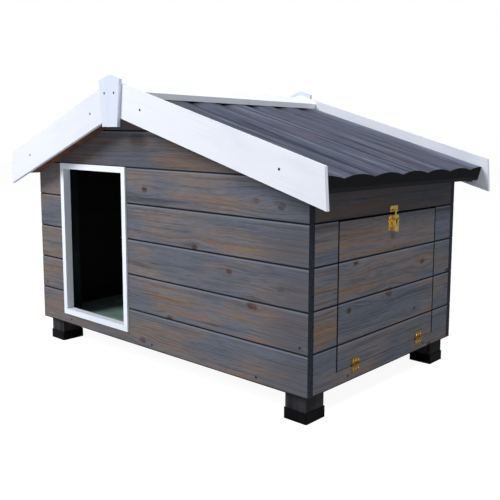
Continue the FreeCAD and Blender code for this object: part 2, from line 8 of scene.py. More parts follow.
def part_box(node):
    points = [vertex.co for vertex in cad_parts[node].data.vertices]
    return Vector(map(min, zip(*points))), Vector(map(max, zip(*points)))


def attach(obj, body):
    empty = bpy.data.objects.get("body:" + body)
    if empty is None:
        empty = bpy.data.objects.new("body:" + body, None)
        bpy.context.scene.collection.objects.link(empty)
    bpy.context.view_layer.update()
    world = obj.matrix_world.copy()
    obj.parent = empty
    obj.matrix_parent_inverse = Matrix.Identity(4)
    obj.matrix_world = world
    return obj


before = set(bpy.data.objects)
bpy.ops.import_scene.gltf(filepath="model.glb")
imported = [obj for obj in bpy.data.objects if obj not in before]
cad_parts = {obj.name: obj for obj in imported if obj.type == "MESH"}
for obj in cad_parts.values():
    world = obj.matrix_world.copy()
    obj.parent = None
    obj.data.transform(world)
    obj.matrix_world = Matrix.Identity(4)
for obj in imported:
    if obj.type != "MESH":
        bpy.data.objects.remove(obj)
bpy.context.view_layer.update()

# Dog house in metres: X along the front wall, Y from the front to the back, Z up.

# ------------------------------------------------------------ places and sizes
MM = 0.001
COURSE = 96 * MM                  # height that one wall board covers
ROOF_BOARD = 114.8 * MM           # width that one roof board covers
ROOF_BOARD_THICK = 28 * MM        # at the crown
SLOPE_RIGHT = math.radians(15.46)
SLOPE_LEFT = math.radians(21.0)
HATCH_GAP = 2.5 * MM              # beside the hatch

front_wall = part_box("front_board_bottom")
side_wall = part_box("right_board_bottom")
hatch_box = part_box("hatch_boards")
finial_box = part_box("finial_front")
WALL_LOW = front_wall[0][2]
FRONT_FACE = front_wall[0][1]
WALL_LEFT = front_wall[0][0]
WALL_RIGHT = front_wall[1][0]
WALL_MIDDLE = (WALL_LEFT + WALL_RIGHT) / 2
BACK_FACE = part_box("back_wall_boards")[1][1]
DEPTH_MIDDLE = (FRONT_FACE + BACK_FACE) / 2
SIDE_FACE = side_wall[1][0]
RIDGE_X = (finial_box[0][0] + finial_box[1][0]) / 2

# ------------------------------------------------------------------ the camera
CAMERA_PLACE = (1.4356, -1.4312, 0.6402)
CAMERA_TURN = math.radians(38.466)     # to the left of straight at the front wall
CAMERA_DIP = math.radians(7.109)
CAMERA_ROLL = math.radians(0.837)
PHOTO_WIDTH = 500
FOCAL_PIXELS = 692.5
CENTRE_PIXEL = (320.4, 221.2)          # where the lens axis meets the photograph
SENSOR_MM = 36.0


def set_camera():
    forward = Vector((-math.sin(CAMERA_TURN) * math.cos(CAMERA_DIP),
                      math.cos(CAMERA_TURN) * math.cos(CAMERA_DIP), -math.sin(CAMERA_DIP)))
    level_right = Vector((math.cos(CAMERA_TURN), math.sin(CAMERA_TURN), 0))
    level_up = level_right.cross(forward)
    right = level_right * math.cos(CAMERA_ROLL) + level_up * math.sin(CAMERA_ROLL)
    up = level_up * math.cos(CAMERA_ROLL) - level_right * math.sin(CAMERA_ROLL)
    lens = bpy.data.cameras.new("photo_camera")
    lens.sensor_width = SENSOR_MM
    lens.lens = SENSOR_MM * FOCAL_PIXELS / PHOTO_WIDTH
    lens.shift_x = 0.5 - CENTRE_PIXEL[0] / PHOTO_WIDTH
    lens.shift_y = CENTRE_PIXEL[1] / PHOTO_WIDTH - 0.5
    camera = bpy.data.objects.new("photo_camera", lens)
    turned = Matrix((right, up, -forward)).transposed().to_4x4()
    camera.matrix_world = Matrix.Translation(CAMERA_PLACE) @ turned
    bpy.context.collection.objects.link(camera)
    bpy.context.scene.camera = camera


# --------------------------------------------------------------- node shorthand
def ink(red, green, blue):
    """Linear colour of a screen colour given from 0 to 255, by the sRGB curve."""
    shares = [value / 255 for value in (red, green, blue)]
    return tuple(share / 12.92 if share < 0.0405 else ((share + 0.055) / 1.055) ** 2.4
                 for share in shares) + (1.0,)


def put(tree, kind, sockets=None, **settings):
    """Add a node; a socket takes a plain value or another node's output."""
    node = tree.nodes.new(kind)
    for name, value in settings.items():
        setattr(node, name, value)
    for name, value in (sockets or {}).items():
        if isinstance(value, bpy.types.NodeSocket):
            tree.links.new(value, node.inputs[name])
        else:
            node.inputs[name].default_value = value
    return node


def maths(tree, operation, *values):
    return put(tree, "ShaderNodeMath", dict(enumerate(values)), operation=operation).outputs[0]


def times(tree, value, factor):
    return maths(tree, "MULTIPLY", value, factor)


def distance_from(tree, value, mark):
    return maths(tree, "ABSOLUTE", maths(tree, "SUBTRACT", value, mark))


def vector_maths(tree, operation, *values):
    node = put(tree, "ShaderNodeVectorMath", dict(enumerate(values)), operation=operation)
    return node.outputs["Value" if operation == "LENGTH" else "Vector"]


def stretched(tree, place, factors):
    return vector_maths(tree, "MULTIPLY", place, factors)


def split(tree, place):
    return put(tree, "ShaderNodeSeparateXYZ", {"Vector": place}).outputs


def lifted(tree, place, lift):
    """The place, moved across the grain."""
    step = put(tree, "ShaderNodeCombineXYZ", {"Z": lift}).outputs[0]
    return vector_maths(tree, "ADD", place, step)


def spread(tree, value, low, high):
    """0 below low, 1 above high, smooth between; low may be the larger one."""
    sockets = {"Value": value, "From Min": low, "From Max": high}
    return put(tree, "ShaderNodeMapRange", sockets, interpolation_type="SMOOTHSTEP").outputs[0]


def blend(tree, share, first, second):
    """The first colour at a share of 0, the second at 1."""
    share_socket, first_socket, second_socket, colour_output = 0, 6, 7, 2
    sockets = {share_socket: share, first_socket: first, second_socket: second}
    return put(tree, "ShaderNodeMix", sockets, data_type="RGBA").outputs[colour_output]


NOISE_MIDDLE = 0.5


def noise(tree, place, scale, detail, roughness=0.55):
    sockets = {"Vector": place, "Scale": scale, "Detail": detail, "Roughness": roughness}
    return put(tree, "ShaderNodeTexNoise", sockets).outputs[0]


def long_noise(tree, place, repeats, detail, roughness=0.55):
    """Noise with its own number of repeats to a metre in each direction."""
    return noise(tree, stretched(tree, place, repeats), 1.0, detail, roughness)


def new_group(name, inputs, outputs):
    group = bpy.data.node_groups.new(name, "ShaderNodeTree")
    for label, kind in inputs:
        group.interface.new_socket(label, in_out="INPUT", socket_type="NodeSocket" + kind)
    for label in outputs:
        group.interface.new_socket(label, in_out="OUTPUT", socket_type="NodeSocketFloat")
    return group, put(group, "NodeGroupInput").outputs, put(group, "NodeGroupOutput").inputs


def use_group(tree, group, sockets):
    return put(tree, "ShaderNodeGroup", sockets, node_tree=group).outputs


# ---------------------------------------------------------------- shared effects
# The three numbers of a place or a size go along, through and across the grain.
SURFACE = (1, 0, 1)                   # leaves out the depth
SEED_STEP = (7.31, 3.17, 5.73)        # from one board's timber to the next one's
KNOT_SPACING = (0.42, 1.0, 0.13)
KNOT_BEND = (0.045, 1.0, 0.018)       # how far a knot bends the grain round it,
KNOT_BEND_END = 1.6                   # and how many times as far the last of it reaches
KNOT_RADIUS = 9 * MM
KNOT_CHANCE = (0.35, 1.0)             # from no knot to a whole one
BEND_CHANCE = (0.35, 0.8)
KNOT_PULL = 0.7
KNOT_OVAL = (0.7, 1, 1.2)
KNOT_RAGGED = (0.45, 1.1)             # least distance, and what the noise adds
KNOT_EDGE = (-4 * MM, 3 * MM)
# repeats to a metre, detail, roughness
SWAY_NOISE = ((2.2, 2.2, 9), 2.0)
LINE_NOISE = ((3.4, 40, 280), 3.0, 0.6)
STREAK_NOISE = ((1.8, 8, 52), 5.0, 0.65)
FIBRE_NOISE = ((26, 260, 900), 2.0, 0.6)
CLOUD_NOISE = ((3.4, 3, 11), 3.0, 0.5)
KNOT_NOISE = ((90, 1, 90), 1.0)
SWAY_HEIGHT = 7 * MM


def knot_mask(tree, away, wobble, radius, oval, ragged, edge):
    """1 inside an oval knot with a ragged edge."""
    length = vector_maths(tree, "LENGTH", stretched(tree, away, oval))
    least, added = ragged
    distance = times(tree, length, maths(tree, "ADD", least, times(tree, wobble, added)))
    return spread(tree, maths(tree, "SUBTRACT", radius, distance), *edge)


def knot_lift(tree, away, pull, strength):
    """How far the grain is looked up nearer to the knot, which bends it round."""
    return times(tree, times(tree, split(tree, away)["Z"], -pull), strength)


def bend_strength(tree, away, reach, end):
    """1 at the knot, and 0 from end times its reach outwards."""
    inverse = tuple(1 / size for size in reach)
    near = vector_maths(tree, "LENGTH", stretched(tree, away, inverse))
    return spread(tree, near, end, 0.0)


def make_timber():
    """Grain that runs along X, with its across direction on Z."""
    group, given, result = new_group("timber", [("Place", "Vector"), ("Seed", "Float")],
                                     ["Lines", "Streaks", "Clouds", "Knots", "Fibres"])
    shift = put(group, "ShaderNodeVectorMath", {0: SEED_STEP, "Scale": given["Seed"]},
                operation="SCALE").outputs["Vector"]
    place = vector_maths(group, "ADD", given["Place"], shift)

    flat = stretched(group, place, SURFACE)
    cells = stretched(group, flat, tuple(1 / size for size in KNOT_SPACING))
    voronoi = put(group, "ShaderNodeTexVoronoi", {"Vector": cells, "Scale": 1.0}).outputs
    centre = stretched(group, voronoi["Position"], KNOT_SPACING)
    away = stretched(group, vector_maths(group, "SUBTRACT", flat, centre), SURFACE)
    chance = put(group, "ShaderNodeSeparateColor", {"Color": voronoi["Color"]}).outputs[0]
    radius = times(group, spread(group, chance, *KNOT_CHANCE), KNOT_RADIUS)
    knots = knot_mask(group, away, long_noise(group, flat, *KNOT_NOISE), radius, KNOT_OVAL,
                      KNOT_RAGGED, KNOT_EDGE)

    bend = times(group, bend_strength(group, away, KNOT_BEND, KNOT_BEND_END),
                 spread(group, chance, *BEND_CHANCE))
    curved = lifted(group, place, knot_lift(group, away, KNOT_PULL, bend))
    sway = maths(group, "SUBTRACT", long_noise(group, place, *SWAY_NOISE), NOISE_MIDDLE)
    curved = lifted(group, curved, times(group, sway, SWAY_HEIGHT))
    made = {"Lines": long_noise(group, curved, *LINE_NOISE),
            "Streaks": long_noise(group, curved, *STREAK_NOISE),
            "Fibres": long_noise(group, curved, *FIBRE_NOISE),
            "Clouds": long_noise(group, place, *CLOUD_NOISE), "Knots": knots}
    for label, value in made.items():
        group.links.new(value, result[label])
    return group


JOINT_EDGE = (3.0 * MM, 1.4 * MM)     # distance from the joint: clear, and black
PAINTED_HIGHLIGHT_EDGE = (8 * MM, 3.5 * MM)         # painted highlight along the upper edge of a board


def make_board_count():
    """Which board a height is on, how near it lies to the joints, and where the painted
    highlight along its upper edge lies.
    """
    group, given, result = new_group(
        "board_count", [("Height", "Float"), ("Start", "Float"), ("Pitch", "Float")],
        ["Number", "Joint", "Highlight"])
    above = maths(group, "SUBTRACT", given["Height"], given["Start"])
    boards = maths(group, "DIVIDE", above, given["Pitch"])
    number = maths(group, "FLOOR", boards)
    to_low = times(group, maths(group, "SUBTRACT", boards, number), given["Pitch"])
    to_high = maths(group, "SUBTRACT", given["Pitch"], to_low)
    nearest = maths(group, "MINIMUM", to_low, to_high)
    group.links.new(number, result["Number"])
    group.links.new(spread(group, nearest, *JOINT_EDGE), result["Joint"])
    group.links.new(spread(group, to_high, *PAINTED_HIGHLIGHT_EDGE), result["Highlight"])
    return group


PLACED_BEND = (0.075, 1, 0.030)
PLACED_BEND_END = 1.5
PLACED_PULL = 0.8
PLACED_OVAL = (0.7, 1, 1)
PLACED_RAGGED = (0.55, 1.0)
PLACED_EDGE = (-3 * MM, 3 * MM)
PLACED_NOISE = ((110, 1, 110), 2.0)


def make_placed_knot():
    """A knot at a set place: how it lifts the grain round it, and its mark."""
    group, given, result = new_group(
        "placed_knot", [("Place", "Vector"), ("Centre", "Vector"), ("Radius", "Float"),
                        ("Marked", "Float")], ["Lift", "Marked"])
    away = stretched(group, vector_maths(group, "SUBTRACT", given["Place"], given["Centre"]),
                     SURFACE)
    strength = bend_strength(group, away, PLACED_BEND, PLACED_BEND_END)
    group.links.new(knot_lift(group, away, PLACED_PULL, strength), result["Lift"])
    mark = knot_mask(group, away, long_noise(group, given["Place"], *PLACED_NOISE),
                     given["Radius"], PLACED_OVAL, PLACED_RAGGED, PLACED_EDGE)
    group.links.new(maths(group, "MAXIMUM", mark, given["Marked"]), result["Marked"])
    return group


timber = make_timber()
board_count = make_board_count()
placed_knot = make_placed_knot()


# -------------------------------------------------------------------- materials
WOOD_SHINE = 0.22
PLASTIC_SHINE = 0.08
METAL_SHINE = 0.5
LINE_RELIEF = 0.7
FIBRE_RELIEF = 0.3
GRAIN_DEPTH = 0.6 * MM
finishes = {}                         # every finish of the dog house, by its name


def new_material(name, roughness, metallic=0.0, shine=WOOD_SHINE):
    material = bpy.data.materials.new(name)
    material.use_nodes = True
    tree = material.node_tree
    shader = tree.nodes["Principled BSDF"]
    shader.inputs["Roughness"].default_value = roughness
    shader.inputs["Metallic"].default_value = metallic
    shader.inputs["Specular IOR Level"].default_value = shine
    finishes[name] = material
    return tree, shader


def vary_roughness(tree, shader, mask, least, added):
    """Roughness from least, where the mask is 0, to added more, where it is 1."""
    tree.links.new(maths(tree, "ADD", least, times(tree, mask, added)),
                   shader.inputs["Roughness"])


def raise_surface(tree, shader, height, depth, strength):
    bump = put(tree, "ShaderNodeBump",
               {"Height": height, "Distance": depth, "Strength": strength})
    tree.links.new(bump.outputs[0], shader.inputs["Normal"])


def raise_grain(tree, shader, figure, strength):
    """Relief of stained boards, mostly from the lines of the grain."""
    relief = maths(tree, "ADD", times(tree, figure["Lines"], LINE_RELIEF),
                   times(tree, figure["Fibres"], FIBRE_RELIEF))
    raise_surface(tree, shader, relief, GRAIN_DEPTH, strength)


def object_place(tree):
    return put(tree, "ShaderNodeTexCoord").outputs["Object"]


def grain_place(tree, turn):
    """Object coordinates turned so that the grain runs along X."""
    return put(tree, "ShaderNodeMapping",
               {"Vector": object_place(tree), "Rotation": turn}).outputs[0]


def darken(tree, figure, colour, dark, masks):
    """Bring out the grain; each mask is a part of it, where clear, where full, and a share."""
    for part, clear, full, share in masks:
        mask = times(tree, spread(tree, figure[part], clear, full), share)
        colour = blend(tree, mask, colour, dark)
    return colour


ALONG_X = (0.0, 0.0, 0.0)
ALONG_Y = (0.0, 0.0, -math.pi / 2)
UPRIGHT = (0.0, math.pi / 2, 0.0)
DOWN_RIGHT = (-math.pi / 2, 0.0, SLOPE_RIGHT)
DOWN_LEFT = (-math.pi / 2, 0.0, -SLOPE_LEFT)
BARGE_RIGHT = (0.0, -SLOPE_RIGHT, 0.0)
BARGE_LEFT = (0.0, SLOPE_LEFT, 0.0)

STAIN_BLUE = ink(96, 101, 113)
STAIN_GREY = ink(115, 110, 112)
STAIN_BROWN = ink(122, 102, 88)
STAIN_DARK = ink(48, 45, 49)
STAIN_OCHRE = ink(152, 108, 74)
KNOT_BROWN = ink(100, 70, 54)
KNOT_BLACK = ink(34, 30, 32)
JOINT_BLACK = ink(12, 13, 17)
PAINTED_HIGHLIGHT_BLUE = ink(134, 142, 160)
END_GRAIN = ink(40, 48, 64)
INSIDE_PAINTED_SHADE = ink(26, 23, 22)
# where a mask starts and where it is full, and how much of the tone it lets through
GREY_CLOUDS = (0.40, 0.60)
BROWN_STREAKS = (0.44, 0.62)
BROWN_CLOUDS = (0.36, 0.58)
BROWN_SHARE = 0.9
OCHRE_STREAKS = (0.57, 0.68)
OCHRE_LINES = (0.46, 0.60)
OCHRE_SHARE = 0.45
WALL_DARKS = (("Streaks", 0.46, 0.30, 0.6), ("Lines", 0.52, 0.36, 0.38),
              ("Fibres", 0.52, 0.34, 0.42))
KNOT_SHARE = 0.6
CORE_KNOT = (0.6, 1.0)
CORE_FIBRES = (0.35, 0.55)
CORE_SHARE = 0.75
BLUE_RAGGED = 0.25                    # metres
BLUE_SHARE = 0.75
PAINTED_HIGHLIGHT_SHARE = 0.45
SEAM_EDGE = (3 * MM, 1.2 * MM)
END_EDGE = (0.9 * MM, 0.3 * MM)
END_FIBRES = (0.4, 0.6)
WALL_ROUGHNESS = 0.62
STREAK_ROUGHNESS = (0.50, 0.25)       # least, and what the streaks add
WALL_RELIEF = 0.6
# knots that stand out: millimetres along the wall from its middle, height, radius
FRONT_KNOTS = ((167, 363, 9), (378, 491, 7), (454, 485, 9), (365, 250, 13), (453, 299, 8),
               (-41, 86, 9))
SIDE_KNOTS = ((-149, 346, 8), (-5, 253, 12), (120, 188, 6), (154, 310, 8), (-173, 237, 8))


def wall_stain(name, turn, seed, knots=(), middle=0.0, ends=(), seams=(), blue=None,
               shade=0.0):
    """Blue-grey stain on softwood boards, with the brown wood showing through.

    ends are where the boards are cut off, and seams are upright gaps, drawn as black lines with
    their lowest and highest point: dark joints at the corners, and painted shade in the gaps
    beside the hatch. blue says where the stain begins to turn bluer and where it is bluest.
    shade is painted shade, which darkens the whole of the boards towards STAIN_DARK.
    """
    tree, shader = new_material(name, WALL_ROUGHNESS)
    spot = split(tree, object_place(tree))
    count = use_group(tree, board_count,
                      {"Height": spot["Z"], "Start": WALL_LOW, "Pitch": COURSE})
    place = grain_place(tree, turn)
    along = split(tree, place)["X"]
    marked = 0.0
    for x, z, radius in knots:
        knot = use_group(tree, placed_knot, {
            "Place": place, "Centre": (middle + x * MM, 0, z * MM), "Radius": radius * MM,
            "Marked": marked})
        place, marked = lifted(tree, place, knot["Lift"]), knot["Marked"]
    board_seed = maths(tree, "ADD", count["Number"], seed)
    figure = use_group(tree, timber, {"Place": place, "Seed": board_seed})

    # painted shade: a shade above 0 darkens the whole board towards STAIN_DARK
    colour = blend(tree, shade, stained_wood(tree, figure), STAIN_DARK)
    colour = knot_colour(tree, figure, maths(tree, "MAXIMUM", figure["Knots"], marked), colour)
    if blue is not None:
        sway = maths(tree, "SUBTRACT", figure["Clouds"], NOISE_MIDDLE)
        ragged = maths(tree, "ADD", along, times(tree, sway, BLUE_RAGGED))
        colour = blend(tree, times(tree, spread(tree, ragged, *blue), BLUE_SHARE), colour,
                       blend(tree, figure["Lines"], STAIN_DARK, STAIN_BLUE))
    # painted highlight: a pale blue line along the upper edge of each board
    colour = blend(tree, times(tree, count["Highlight"], PAINTED_HIGHLIGHT_SHARE), colour, PAINTED_HIGHLIGHT_BLUE)
    colour = blend(tree, count["Joint"], colour, JOINT_BLACK)
    # black seams: dark joints at the corners, painted shade in the gaps beside the hatch
    for line, low, top in seams:
        level = distance_from(tree, spot["Z"], (low + top) / 2)
        here = times(tree, spread(tree, distance_from(tree, along, line), *SEAM_EDGE),
                     maths(tree, "LESS_THAN", level, (top - low) / 2))
        colour = blend(tree, here, colour, JOINT_BLACK)
    for end in ends:
        cut_wood = blend(tree, spread(tree, figure["Fibres"], *END_FIBRES), JOINT_BLACK,
                         END_GRAIN)
        here = spread(tree, distance_from(tree, along, end), *END_EDGE)
        colour = blend(tree, here, colour, cut_wood)
    # painted shade: faces inside the cabin go near-black
    colour = blend(tree, inside_shade_mask(tree, spot), colour, INSIDE_PAINTED_SHADE)
    tree.links.new(colour, shader.inputs["Base Color"])
    vary_roughness(tree, shader, figure["Streaks"], *STREAK_ROUGHNESS)
    raise_grain(tree, shader, figure, WALL_RELIEF)


def stained_wood(tree, figure):
    stain = blend(tree, spread(tree, figure["Clouds"], *GREY_CLOUDS), STAIN_BLUE, STAIN_GREY)
    brown = times(tree, spread(tree, figure["Streaks"], *BROWN_STREAKS),
                  spread(tree, figure["Clouds"], *BROWN_CLOUDS))
    colour = blend(tree, times(tree, brown, BROWN_SHARE), stain, STAIN_BROWN)
    ochre = times(tree, spread(tree, figure["Streaks"], *OCHRE_STREAKS),
                  spread(tree, figure["Lines"], *OCHRE_LINES))
    colour = blend(tree, times(tree, ochre, OCHRE_SHARE), colour, STAIN_OCHRE)
    return darken(tree, figure, colour, STAIN_DARK, WALL_DARKS)


def knot_colour(tree, figure, knots, colour):
    colour = blend(tree, times(tree, knots, KNOT_SHARE), colour, KNOT_BROWN)
    core = times(tree, spread(tree, knots, *CORE_KNOT),
                 spread(tree, figure["Fibres"], *CORE_FIBRES))
    return blend(tree, times(tree, core, CORE_SHARE), colour, KNOT_BLACK)


INSIDE_START = 3 * MM                 # behind the outer face of the wall
INSIDE_SOFT = 9 * MM


def inside_shade_mask(tree, spot):
    """1 on faces that look into the cabin, which painted shade darkens."""
    half_depth = BACK_FACE - DEPTH_MIDDLE - INSIDE_START
    half_width = (WALL_RIGHT - WALL_LEFT) / 2 - INSIDE_START
    deep_y = spread(tree, distance_from(tree, spot["Y"], DEPTH_MIDDLE), half_depth,
                    half_depth - INSIDE_SOFT)
    deep_x = spread(tree, distance_from(tree, spot["X"], WALL_MIDDLE), half_width,
                    half_width - INSIDE_SOFT)
    return times(tree, deep_y, deep_x)


ROOF_MID = ink(84, 91, 110)
ROOF_PURPLE = ink(92, 90, 106)
ROOF_DARK = ink(40, 43, 56)
ROOF_PALE = ink(136, 141, 160)
ROOF_END = ink(9, 9, 12)
PURPLE_CLOUDS = (0.42, 0.60)
PALE_STREAKS = (0.54, 0.66)
PALE_SHARE = 0.7
ROOF_DARKS = (("Streaks", 0.50, 0.36, 0.9), ("Lines", 0.52, 0.38, 0.55),
              ("Fibres", 0.50, 0.36, 0.35))
ROOF_KNOT_SHARE = 0.5
ROOF_JOINT_SHARE = 0.7
ROOF_SEED = 40.0
ROOF_END_EDGE = (2.2 * MM, 0.8 * MM)  # short of the cut: clear, and black
ROOF_ROUGHNESS = 0.5
ROOF_END_ROUGHNESS = 0.4              # what the black paint adds
ROOF_RELIEF = 0.5


def roof_stain(name, turn, boards, side, slope):
    """Anthracite stain on the roof boards, with black paint over their ends."""
    tree, shader = new_material(name, ROOF_ROUGHNESS)
    spot = split(tree, object_place(tree))
    count = use_group(tree, board_count, {
        "Height": spot["Y"], "Start": DEPTH_MIDDLE - ROOF_BOARD / 2, "Pitch": ROOF_BOARD})
    seed = maths(tree, "ADD", count["Number"], ROOF_SEED + side)
    figure = use_group(tree, timber, {"Place": grain_place(tree, turn), "Seed": seed})
    colour = blend(tree, spread(tree, figure["Clouds"], *PURPLE_CLOUDS), ROOF_MID, ROOF_PURPLE)
    pale = times(tree, spread(tree, figure["Streaks"], *PALE_STREAKS), PALE_SHARE)
    colour = blend(tree, pale, colour, ROOF_PALE)
    colour = darken(tree, figure, colour, ROOF_DARK, ROOF_DARKS)
    colour = blend(tree, times(tree, figure["Knots"], ROOF_KNOT_SHARE), colour, ROOF_DARK)
    colour = blend(tree, times(tree, count["Joint"], ROOF_JOINT_SHARE), colour, ROOF_END)
    end = roof_end_mask(tree, spot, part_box(boards), side, slope)
    colour = blend(tree, end, colour, ROOF_END)
    tree.links.new(colour, shader.inputs["Base Color"])
    vary_roughness(tree, shader, end, ROOF_ROUGHNESS, ROOF_END_ROUGHNESS)
    raise_grain(tree, shader, figure, ROOF_RELIEF)


def roof_end_mask(tree, spot, box, side, slope):
    """1 on the last bit of the slope, measured square to the cut ends."""
    run = times(tree, spot["X"], side * math.cos(slope))
    drop = times(tree, spot["Z"], -math.sin(slope))
    # the upper corner of the cut end reaches furthest out, so the box gives its X
    eave = box[1][0] if side > 0 else -box[0][0]
    crest = box[0][2] + ROOF_BOARD_THICK * math.cos(slope)
    end = eave * math.cos(slope) - crest * math.sin(slope)
    clear, black = ROOF_END_EDGE
    return spread(tree, maths(tree, "ADD", run, drop), end - clear, end - black)


PAINT_ROUGHNESS = 0.55
WORN_CLOUDS = (0.45, 0.75)
WORN_SHARE = 0.5
PAINT_LINES = (0.48, 0.30)
PAINT_LINE_SHARE = 0.35
PAINT_RELIEF = (0.3 * MM, 0.35)       # depth and strength


def white_paint(name, turn, seed, clean, shade):
    """White paint with the grain just showing."""
    tree, shader = new_material(name, PAINT_ROUGHNESS)
    figure = use_group(tree, timber, {"Place": grain_place(tree, turn), "Seed": seed})
    worn = times(tree, spread(tree, figure["Clouds"], *WORN_CLOUDS), WORN_SHARE)
    colour = blend(tree, worn, clean, shade)
    lines = times(tree, spread(tree, figure["Lines"], *PAINT_LINES), PAINT_LINE_SHARE)
    colour = blend(tree, lines, colour, shade)
    tree.links.new(colour, shader.inputs["Base Color"])
    raise_surface(tree, shader, figure["Lines"], *PAINT_RELIEF)


TIMBER_ROUGHNESS = 0.7
TIMBER_STREAKS = (0.38, 0.64)
TIMBER_DARKS = (("Lines", 0.52, 0.34, 0.5),)
TIMBER_KNOT_SHARE = 0.6
TIMBER_RELIEF = (0.4 * MM, 0.5)


def plain_timber(name, turn, seed, pale, dark):
    """One stain over softwood, streaked from a pale to a dark tone."""
    tree, shader = new_material(name, TIMBER_ROUGHNESS)
    figure = use_group(tree, timber, {"Place": grain_place(tree, turn), "Seed": seed})
    colour = blend(tree, spread(tree, figure["Streaks"], *TIMBER_STREAKS), dark, pale)
    colour = darken(tree, figure, colour, dark, TIMBER_DARKS)
    colour = blend(tree, times(tree, figure["Knots"], TIMBER_KNOT_SHARE), colour, dark)
    tree.links.new(colour, shader.inputs["Base Color"])
    raise_surface(tree, shader, figure["Lines"], *TIMBER_RELIEF)


PLASTIC_ROUGHNESS = 0.5
SCUFF_NOISE = (45.0, 4.0)             # repeats to a metre, detail
SCUFF_MASK = (0.55, 0.75)
SCUFF_SHARE = 0.35
SCUFF_ROUGHNESS = (0.42, 0.3)
PLASTIC_NOISE = (900.0, 2.0)
PLASTIC_RELIEF = (0.15 * MM, 0.4)


def moulded_plastic(name, tone, scuffed):
    """Finely grained plastic with paler scuffs."""
    tree, shader = new_material(name, PLASTIC_ROUGHNESS, shine=PLASTIC_SHINE)
    place = object_place(tree)
    scuffs = spread(tree, noise(tree, place, *SCUFF_NOISE), *SCUFF_MASK)
    colour = blend(tree, times(tree, scuffs, SCUFF_SHARE), tone, scuffed)
    tree.links.new(colour, shader.inputs["Base Color"])
    vary_roughness(tree, shader, scuffs, *SCUFF_ROUGHNESS)
    raise_surface(tree, shader, noise(tree, place, *PLASTIC_NOISE), *PLASTIC_RELIEF)


TARNISH_NOISE = (160.0, 4.0)
TARNISH_MASK = (0.48, 0.72)
TARNISH_SHARE = 0.7
TARNISH_ROUGHNESS = 0.25              # what it adds
METAL_NOISE = (700.0, 2.0)
METAL_RELIEF = (0.05 * MM, 0.3)


def metal(name, tone, dull, roughness):
    """Metal that has gone dull in patches."""
    tree, shader = new_material(name, roughness, 1.0, METAL_SHINE)
    place = object_place(tree)
    tarnish = spread(tree, noise(tree, place, *TARNISH_NOISE), *TARNISH_MASK)
    colour = blend(tree, times(tree, tarnish, TARNISH_SHARE), tone, dull)
    tree.links.new(colour, shader.inputs["Base Color"])
    vary_roughness(tree, shader, tarnish, roughness, TARNISH_ROUGHNESS)
    raise_surface(tree, shader, noise(tree, place, *METAL_NOISE), *METAL_RELIEF)


BLUE_PATCH = (WALL_RIGHT - 190 * MM, WALL_RIGHT - 20 * MM)
GABLE_PAINTED_SHADE = 0.28                    # painted shade under the front verge
TOP_BOARD_PAINTED_SHADE = 0.55                # painted shade under the right eave
# one white paint in several tones: the frame's whites are lighter as painted light, the
# finial's darker as painted shade
FRAME_WHITES_PAINTED_LIGHT = (ink(238, 243, 252), ink(218, 228, 243))
RIDGE_WHITES = (ink(246, 248, 252), ink(232, 235, 242))
FINIAL_WHITES_PAINTED_SHADE = (ink(210, 217, 232), ink(194, 203, 222))
BARGE_WHITES = (ink(228, 231, 240), ink(206, 212, 226))
# name, grain, seed, clean tone and shaded tone
PAINTS = (
    ("paint_frame_level", ALONG_X, 3.0, *FRAME_WHITES_PAINTED_LIGHT),
    ("paint_frame_upright", UPRIGHT, 5.0, *FRAME_WHITES_PAINTED_LIGHT),
    ("paint_ridge", ALONG_Y, 4.0, *RIDGE_WHITES),
    ("paint_finial", UPRIGHT, 14.0, *FINIAL_WHITES_PAINTED_SHADE),
    ("paint_right_slope", BARGE_RIGHT, 6.0, *BARGE_WHITES),
    ("paint_left_slope", BARGE_LEFT, 7.0, *BARGE_WHITES),
)
# name, grain, seed, pale tone and dark tone
TIMBERS = (
    ("post_stain", UPRIGHT, 8.0, ink(54, 52, 57), ink(26, 26, 30)),
    ("floor_stain", ALONG_X, 9.0, ink(150, 176, 168), ink(104, 128, 122)),
    ("batten_brown", ALONG_X, 10.0, ink(124, 84, 62), ink(82, 54, 42)),
    ("inner_timber", UPRIGHT, 12.0, ink(52, 45, 40), ink(34, 29, 26)),
    ("fascia_black", ALONG_Y, 13.0, ink(22, 22, 26), ink(10, 10, 13)),
)
# name, bright tone, dull tone, roughness
METALS = (
    ("brass", ink(255, 222, 132), ink(168, 124, 58), 0.26),
    ("hinge_brass", ink(168, 132, 70), ink(44, 34, 20), 0.34),
    ("screw_steel", ink(44, 44, 48), ink(20, 20, 22), 0.45),
)
# the longest start of a node's name gives its material
NODE_FINISHES = {
    "front_": "stain_front", "front_gable": "stain_gable_painted_shade", "back_wall": "stain_front",
    "left_wall": "stain_left", "right_board": "stain_sides",
    "right_board_top": "stain_top_board_painted_shade", "hatch_boards": "stain_hatch",
    "hatch_batten": "inner_timber", "hatch_stop": "inner_timber",
    "ridge_beam": "inner_timber", "leg_": "post_stain", "floor_boards": "floor_stain",
    "verge_batten": "batten_brown", "eave_fascia": "fascia_black",
    "foot_cap": "cap_plastic", "hinge_": "hinge_brass", "latch_": "brass",
    "finial": "paint_finial", "ridge_cap": "paint_ridge",
    "door_frame_left": "paint_frame_upright", "door_frame_right": "paint_frame_upright",
    "door_frame_top": "paint_frame_level", "door_frame_sill": "paint_frame_level",
    "barge_board_front_right": "paint_right_slope",
    "barge_board_back_right": "paint_right_slope",
    "barge_board_front_left": "paint_left_slope",
    "barge_board_back_left": "paint_left_slope",
    "roof_boards_right": "roof_stain_right", "roof_boards_left": "roof_stain_left",
}


